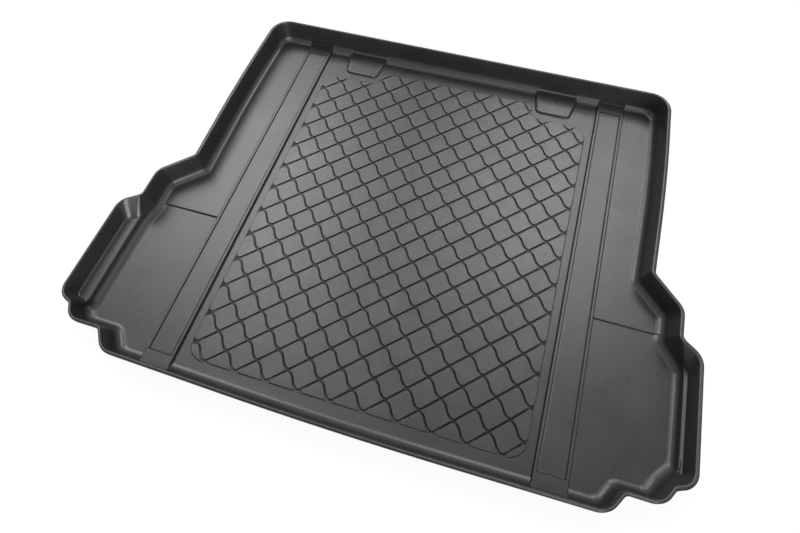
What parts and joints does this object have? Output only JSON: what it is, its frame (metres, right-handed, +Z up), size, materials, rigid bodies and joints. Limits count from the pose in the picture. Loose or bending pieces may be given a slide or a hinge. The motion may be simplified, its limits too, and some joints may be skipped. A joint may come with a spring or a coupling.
{
  "type": "car boot liner",
  "caption": "Moulded car boot liner tray with a raised rim, pockets behind both wheel arches, two raised rails and a floor of diamond pads.",
  "frame": {"origin": "centre of the bounding box at the flat underside, on the boot floor", "axes": "+X across the car towards the side with the narrow ledge, +Y towards the seats, +Z up"},
  "size_m": [1.259, 0.9824, 0.061],
  "materials": {
    "liner": "matte, fine leather-like grain"
  },
  "bodies": {
    "root": {"boot_liner": "liner"}
  },
  "joints": []
}
